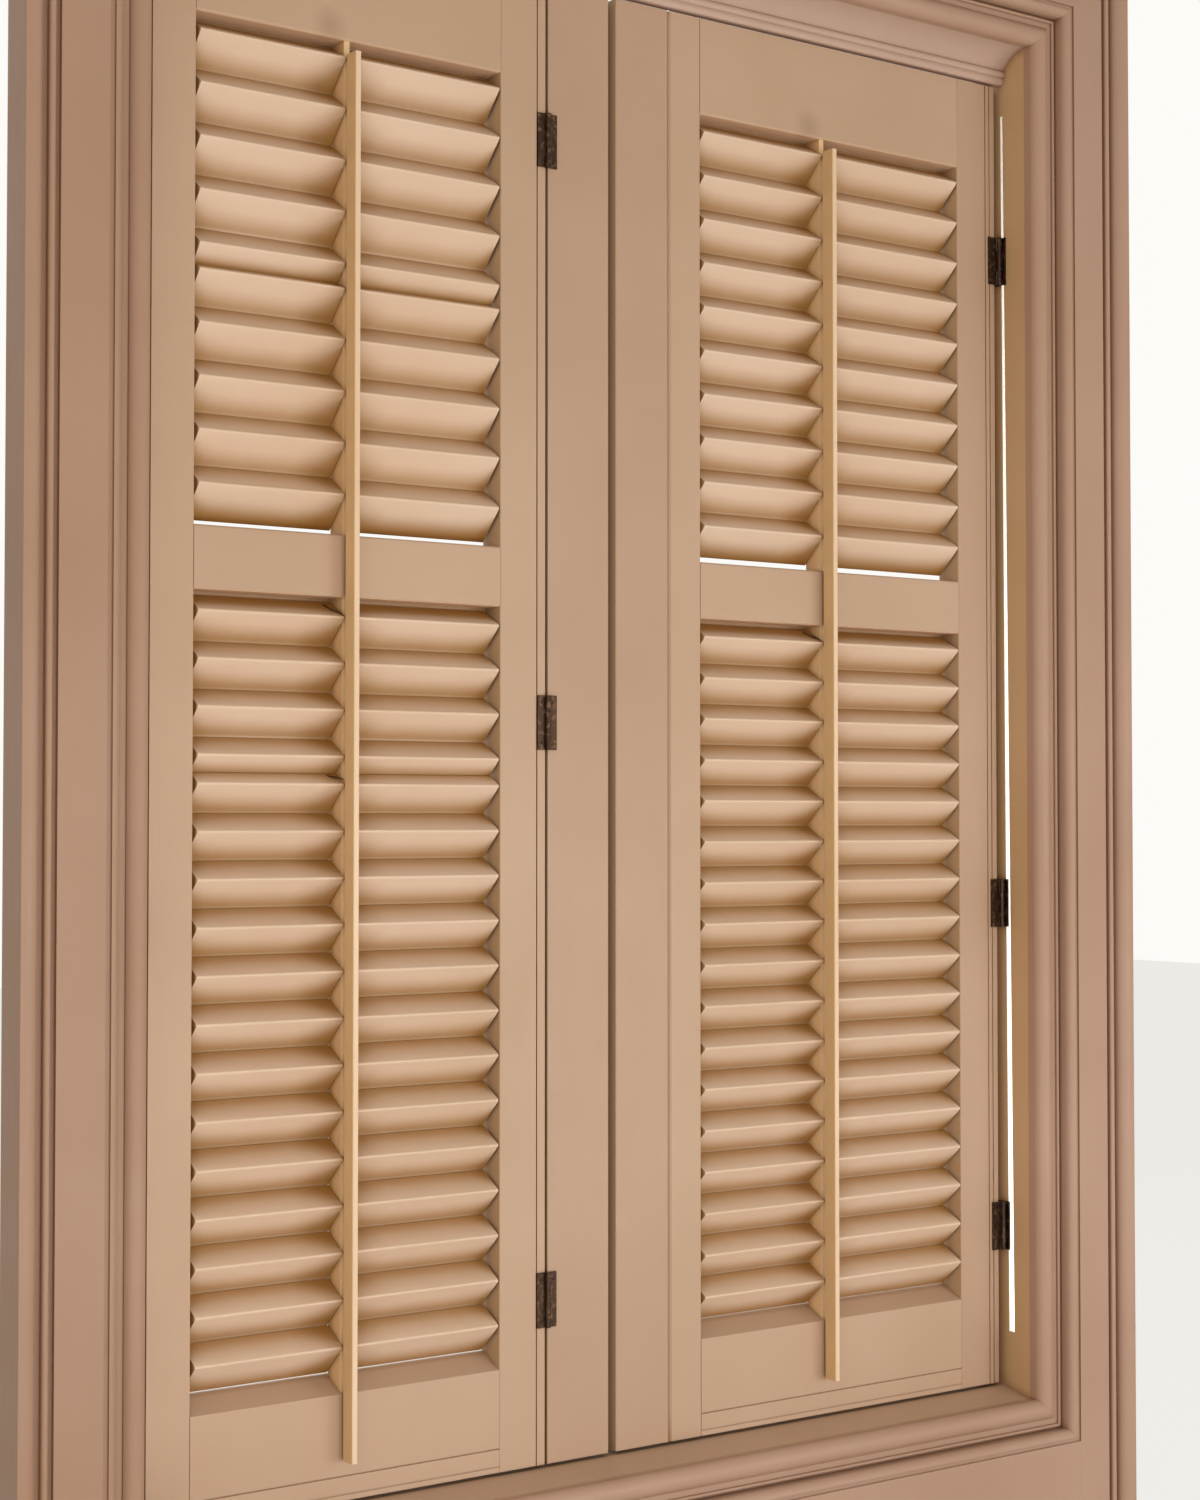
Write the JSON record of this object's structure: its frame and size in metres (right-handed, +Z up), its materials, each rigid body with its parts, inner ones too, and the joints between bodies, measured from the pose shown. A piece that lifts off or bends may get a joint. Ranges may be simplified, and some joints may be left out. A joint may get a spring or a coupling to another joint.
{
  "type": "louvred shutters",
  "caption": "Hinged pair of painted interior louvred shutters with tilt rods, a folding flap and a moulded window frame with apron.",
  "frame": {"origin": "centre of the back of the bottom architrave, on the wall face", "axes": "+Z up, +Y away from the room into the window opening, +X to the right seen from the room"},
  "size_m": [1.636, 0.1443, 2.246],
  "materials": {
    "frame_paint": "satin paint",
    "leaf_paint": "satin paint",
    "bronze": "dark patina"
  },
  "bodies": {
    "frame": {"left_jamb": "frame_paint", "right_jamb": "frame_paint", "head_board": "frame_paint", "sill_board": "frame_paint", "left_architrave": "frame_paint", "right_architrave": "frame_paint", "head_architrave": "frame_paint", "apron_architrave": "frame_paint", "left_jamb_hinges": "bronze", "right_jamb_hinges": "bronze"},
    "left_leaf": {"left_outer_stile": "leaf_paint", "left_inner_stile": "leaf_paint", "left_top_rail": "leaf_paint", "left_mid_rail": "leaf_paint", "left_bottom_rail": "leaf_paint", "left_upper_centre_stile": "leaf_paint", "left_lower_centre_stile": "leaf_paint", "left_leaf_hinges": "bronze", "fold_hinges_leaf_half": "bronze"},
    "left_flap": {"left_flap": "leaf_paint", "fold_hinges_flap_half": "bronze"},
    "right_leaf": {"right_stile_with_louvres": "leaf_paint", "right_outer_stile": "leaf_paint", "right_top_rail": "leaf_paint", "right_mid_rail": "leaf_paint", "right_bottom_rail": "leaf_paint", "right_upper_centre_stile": "leaf_paint", "right_lower_centre_stile": "leaf_paint", "right_tilt_rod": "leaf_paint", "right_meeting_strip": "leaf_paint", "right_leaf_hinges": "bronze"},
    "left_louvre_01": {"left_louvre_01": "leaf_paint"},
    "left_louvre_02": {"left_louvre_02": "leaf_paint"},
    "left_louvre_03": {"left_louvre_03": "leaf_paint"},
    "left_louvre_04": {"left_louvre_04": "leaf_paint"},
    "left_louvre_05": {"left_louvre_05": "leaf_paint"},
    "left_louvre_06": {"left_louvre_06": "leaf_paint"},
    "left_louvre_07": {"left_louvre_07": "leaf_paint"},
    "left_louvre_08": {"left_louvre_08": "leaf_paint"},
    "left_louvre_09": {"left_louvre_09": "leaf_paint"},
    "left_louvre_10": {"left_louvre_10": "leaf_paint"},
    "left_louvre_11": {"left_louvre_11": "leaf_paint"},
    "left_louvre_12": {"left_louvre_12": "leaf_paint"},
    "left_louvre_13": {"left_louvre_13": "leaf_paint"},
    "left_louvre_14": {"left_louvre_14": "leaf_paint"},
    "left_louvre_15": {"left_louvre_15": "leaf_paint"},
    "left_louvre_16": {"left_louvre_16": "leaf_paint"},
    "left_louvre_17": {"left_louvre_17": "leaf_paint"},
    "left_louvre_18": {"left_louvre_18": "leaf_paint"},
    "left_louvre_19": {"left_louvre_19": "leaf_paint"},
    "left_louvre_20": {"left_louvre_20": "leaf_paint"},
    "left_louvre_21": {"left_louvre_21": "leaf_paint"},
    "left_louvre_22": {"left_louvre_22": "leaf_paint"},
    "left_louvre_23": {"left_louvre_23": "leaf_paint"},
    "left_louvre_24": {"left_louvre_24": "leaf_paint"},
    "left_louvre_25": {"left_louvre_25": "leaf_paint"},
    "left_louvre_26": {"left_louvre_26": "leaf_paint"},
    "left_louvre_27": {"left_louvre_27": "leaf_paint"},
    "left_tilt_rod": {"left_tilt_rod": "leaf_paint"}
  },
  "joints": [
    {"name": "left_leaf_swing", "type": "hinge", "parent": "frame", "child": "left_leaf", "pos_m": [-0.6555, 0.0431, 1.02925], "axis": [0, 0, -1], "range_deg": [0, 90]},
    {"name": "left_flap_fold", "type": "hinge", "parent": "left_leaf", "child": "left_flap", "pos_m": [-0.10713, 0.0431, 1.02925], "axis": [0, 0, -1], "range_deg": [0, 180]},
    {"name": "right_leaf_swing", "type": "hinge", "parent": "frame", "child": "right_leaf", "pos_m": [0.6555, 0.0431, 1.02925], "axis": [0, 0, 1], "range_deg": [0, 90]},
    {"name": "left_louvre_01_tilt", "type": "hinge", "parent": "left_leaf", "child": "left_louvre_01", "pos_m": [-0.37656, 0.0625, 1.77625], "axis": [1, 0, 0], "range_deg": [0, 50]},
    {"name": "left_louvre_02_tilt", "type": "hinge", "parent": "left_leaf", "child": "left_louvre_02", "pos_m": [-0.37656, 0.0625, 1.7165], "axis": [1, 0, 0], "range_deg": [0, 50]},
    {"name": "left_louvre_03_tilt", "type": "hinge", "parent": "left_leaf", "child": "left_louvre_03", "pos_m": [-0.37656, 0.0625, 1.65676], "axis": [1, 0, 0], "range_deg": [0, 50]},
    {"name": "left_louvre_04_tilt", "type": "hinge", "parent": "left_leaf", "child": "left_louvre_04", "pos_m": [-0.37656, 0.0625, 1.59702], "axis": [1, 0, 0], "range_deg": [0, 50]},
    {"name": "left_louvre_05_tilt", "type": "hinge", "parent": "left_leaf", "child": "left_louvre_05", "pos_m": [-0.37656, 0.0625, 1.53727], "axis": [1, 0, 0], "range_deg": [0, 50]},
    {"name": "left_louvre_06_tilt", "type": "hinge", "parent": "left_leaf", "child": "left_louvre_06", "pos_m": [-0.37656, 0.0625, 1.50827], "axis": [1, 0, 0], "range_deg": [0, 50]},
    {"name": "left_louvre_07_tilt", "type": "hinge", "parent": "left_leaf", "child": "left_louvre_07", "pos_m": [-0.37656, 0.0625, 1.44853], "axis": [1, 0, 0], "range_deg": [0, 50]},
    {"name": "left_louvre_08_tilt", "type": "hinge", "parent": "left_leaf", "child": "left_louvre_08", "pos_m": [-0.37656, 0.0625, 1.38878], "axis": [1, 0, 0], "range_deg": [0, 50]},
    {"name": "left_louvre_09_tilt", "type": "hinge", "parent": "left_leaf", "child": "left_louvre_09", "pos_m": [-0.37656, 0.0625, 1.32903], "axis": [1, 0, 0], "range_deg": [0, 50]},
    {"name": "left_louvre_10_tilt", "type": "hinge", "parent": "left_leaf", "child": "left_louvre_10", "pos_m": [-0.37656, 0.0625, 1.26929], "axis": [1, 0, 0], "range_deg": [0, 50]},
    {"name": "left_louvre_11_tilt", "type": "hinge", "parent": "left_leaf", "child": "left_louvre_11", "pos_m": [-0.37656, 0.0625, 1.12829], "axis": [1, 0, 0], "range_deg": [0, 50]},
    {"name": "left_louvre_12_tilt", "type": "hinge", "parent": "left_leaf", "child": "left_louvre_12", "pos_m": [-0.37656, 0.0625, 1.07485], "axis": [1, 0, 0], "range_deg": [0, 50]},
    {"name": "left_louvre_13_tilt", "type": "hinge", "parent": "left_leaf", "child": "left_louvre_13", "pos_m": [-0.37656, 0.0625, 1.02141], "axis": [1, 0, 0], "range_deg": [0, 50]},
    {"name": "left_louvre_14_tilt", "type": "hinge", "parent": "left_leaf", "child": "left_louvre_14", "pos_m": [-0.37656, 0.0625, 0.96797], "axis": [1, 0, 0], "range_deg": [0, 50]},
    {"name": "left_louvre_15_tilt", "type": "hinge", "parent": "left_leaf", "child": "left_louvre_15", "pos_m": [-0.37656, 0.0625, 0.93597], "axis": [1, 0, 0], "range_deg": [0, 50]},
    {"name": "left_louvre_16_tilt", "type": "hinge", "parent": "left_leaf", "child": "left_louvre_16", "pos_m": [-0.37656, 0.0625, 0.88253], "axis": [1, 0, 0], "range_deg": [0, 50]},
    {"name": "left_louvre_17_tilt", "type": "hinge", "parent": "left_leaf", "child": "left_louvre_17", "pos_m": [-0.37656, 0.0625, 0.82909], "axis": [1, 0, 0], "range_deg": [0, 50]},
    {"name": "left_louvre_18_tilt", "type": "hinge", "parent": "left_leaf", "child": "left_louvre_18", "pos_m": [-0.37656, 0.0625, 0.77565], "axis": [1, 0, 0], "range_deg": [0, 50]},
    {"name": "left_louvre_19_tilt", "type": "hinge", "parent": "left_leaf", "child": "left_louvre_19", "pos_m": [-0.37656, 0.0625, 0.72221], "axis": [1, 0, 0], "range_deg": [0, 50]},
    {"name": "left_louvre_20_tilt", "type": "hinge", "parent": "left_leaf", "child": "left_louvre_20", "pos_m": [-0.37656, 0.0625, 0.66877], "axis": [1, 0, 0], "range_deg": [0, 50]},
    {"name": "left_louvre_21_tilt", "type": "hinge", "parent": "left_leaf", "child": "left_louvre_21", "pos_m": [-0.37656, 0.0625, 0.61533], "axis": [1, 0, 0], "range_deg": [0, 50]},
    {"name": "left_louvre_22_tilt", "type": "hinge", "parent": "left_leaf", "child": "left_louvre_22", "pos_m": [-0.37656, 0.0625, 0.56189], "axis": [1, 0, 0], "range_deg": [0, 50]},
    {"name": "left_louvre_23_tilt", "type": "hinge", "parent": "left_leaf", "child": "left_louvre_23", "pos_m": [-0.37656, 0.0625, 0.50845], "axis": [1, 0, 0], "range_deg": [0, 50]},
    {"name": "left_louvre_24_tilt", "type": "hinge", "parent": "left_leaf", "child": "left_louvre_24", "pos_m": [-0.37656, 0.0625, 0.45501], "axis": [1, 0, 0], "range_deg": [0, 50]},
    {"name": "left_louvre_25_tilt", "type": "hinge", "parent": "left_leaf", "child": "left_louvre_25", "pos_m": [-0.37656, 0.0625, 0.40157], "axis": [1, 0, 0], "range_deg": [0, 50]},
    {"name": "left_louvre_26_tilt", "type": "hinge", "parent": "left_leaf", "child": "left_louvre_26", "pos_m": [-0.37656, 0.0625, 0.34813], "axis": [1, 0, 0], "range_deg": [0, 50]},
    {"name": "left_louvre_27_tilt", "type": "hinge", "parent": "left_leaf", "child": "left_louvre_27", "pos_m": [-0.37656, 0.0625, 0.29469], "axis": [1, 0, 0], "range_deg": [0, 50]},
    {"name": "left_tilt_rod_link", "type": "hinge", "parent": "left_louvre_01", "child": "left_tilt_rod", "pos_m": [-0.38556, 0.04584, 1.78468], "axis": [1, 0, 0], "range_deg": [-50, 0]}
  ],
  "couplings": [
    {"joint": "left_louvre_02_tilt", "follows": "left_louvre_01_tilt", "ratio": 1},
    {"joint": "left_louvre_03_tilt", "follows": "left_louvre_01_tilt", "ratio": 1},
    {"joint": "left_louvre_04_tilt", "follows": "left_louvre_01_tilt", "ratio": 1},
    {"joint": "left_louvre_05_tilt", "follows": "left_louvre_01_tilt", "ratio": 1},
    {"joint": "left_louvre_06_tilt", "follows": "left_louvre_01_tilt", "ratio": 1},
    {"joint": "left_louvre_07_tilt", "follows": "left_louvre_01_tilt", "ratio": 1},
    {"joint": "left_louvre_08_tilt", "follows": "left_louvre_01_tilt", "ratio": 1},
    {"joint": "left_louvre_09_tilt", "follows": "left_louvre_01_tilt", "ratio": 1},
    {"joint": "left_louvre_10_tilt", "follows": "left_louvre_01_tilt", "ratio": 1},
    {"joint": "left_louvre_11_tilt", "follows": "left_louvre_01_tilt", "ratio": 1},
    {"joint": "left_louvre_12_tilt", "follows": "left_louvre_01_tilt", "ratio": 1},
    {"joint": "left_louvre_13_tilt", "follows": "left_louvre_01_tilt", "ratio": 1},
    {"joint": "left_louvre_14_tilt", "follows": "left_louvre_01_tilt", "ratio": 1},
    {"joint": "left_louvre_15_tilt", "follows": "left_louvre_01_tilt", "ratio": 1},
    {"joint": "left_louvre_16_tilt", "follows": "left_louvre_01_tilt", "ratio": 1},
    {"joint": "left_louvre_17_tilt", "follows": "left_louvre_01_tilt", "ratio": 1},
    {"joint": "left_louvre_18_tilt", "follows": "left_louvre_01_tilt", "ratio": 1},
    {"joint": "left_louvre_19_tilt", "follows": "left_louvre_01_tilt", "ratio": 1},
    {"joint": "left_louvre_20_tilt", "follows": "left_louvre_01_tilt", "ratio": 1},
    {"joint": "left_louvre_21_tilt", "follows": "left_louvre_01_tilt", "ratio": 1},
    {"joint": "left_louvre_22_tilt", "follows": "left_louvre_01_tilt", "ratio": 1},
    {"joint": "left_louvre_23_tilt", "follows": "left_louvre_01_tilt", "ratio": 1},
    {"joint": "left_louvre_24_tilt", "follows": "left_louvre_01_tilt", "ratio": 1},
    {"joint": "left_louvre_25_tilt", "follows": "left_louvre_01_tilt", "ratio": 1},
    {"joint": "left_louvre_26_tilt", "follows": "left_louvre_01_tilt", "ratio": 1},
    {"joint": "left_louvre_27_tilt", "follows": "left_louvre_01_tilt", "ratio": 1},
    {"joint": "left_tilt_rod_link", "follows": "left_louvre_01_tilt", "ratio": -1}
  ]
}
